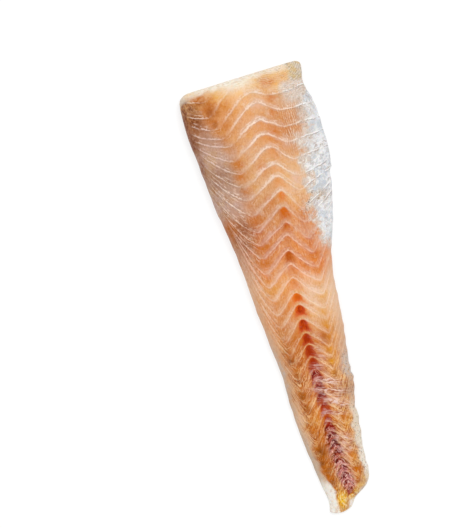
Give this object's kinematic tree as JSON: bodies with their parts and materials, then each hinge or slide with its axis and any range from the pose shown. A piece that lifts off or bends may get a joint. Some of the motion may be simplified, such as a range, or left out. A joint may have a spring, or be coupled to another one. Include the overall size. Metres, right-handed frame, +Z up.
{
  "type": "kingklip fillet",
  "caption": "Raw boneless fish fillet lying bone side up: wide slanted head cut, narrow tail, domed back, thin belly flap, spine groove and W-folded muscle flakes.",
  "frame": {"origin": "middle of the fillet's outline box, on the surface that it lies on", "axes": "+Y along the spine line towards the wide head cut, +X towards the belly edge, +Z up out of the bone side"},
  "size_m": [0.1084, 0.3598, 0.0266],
  "materials": {
    "flesh": "moist satin peach-orange flesh with white flake lines, a purple-brown blood line and a silvery belly membrane"
  },
  "bodies": {
    "root": {"fillet": "flesh"}
  },
  "joints": []
}
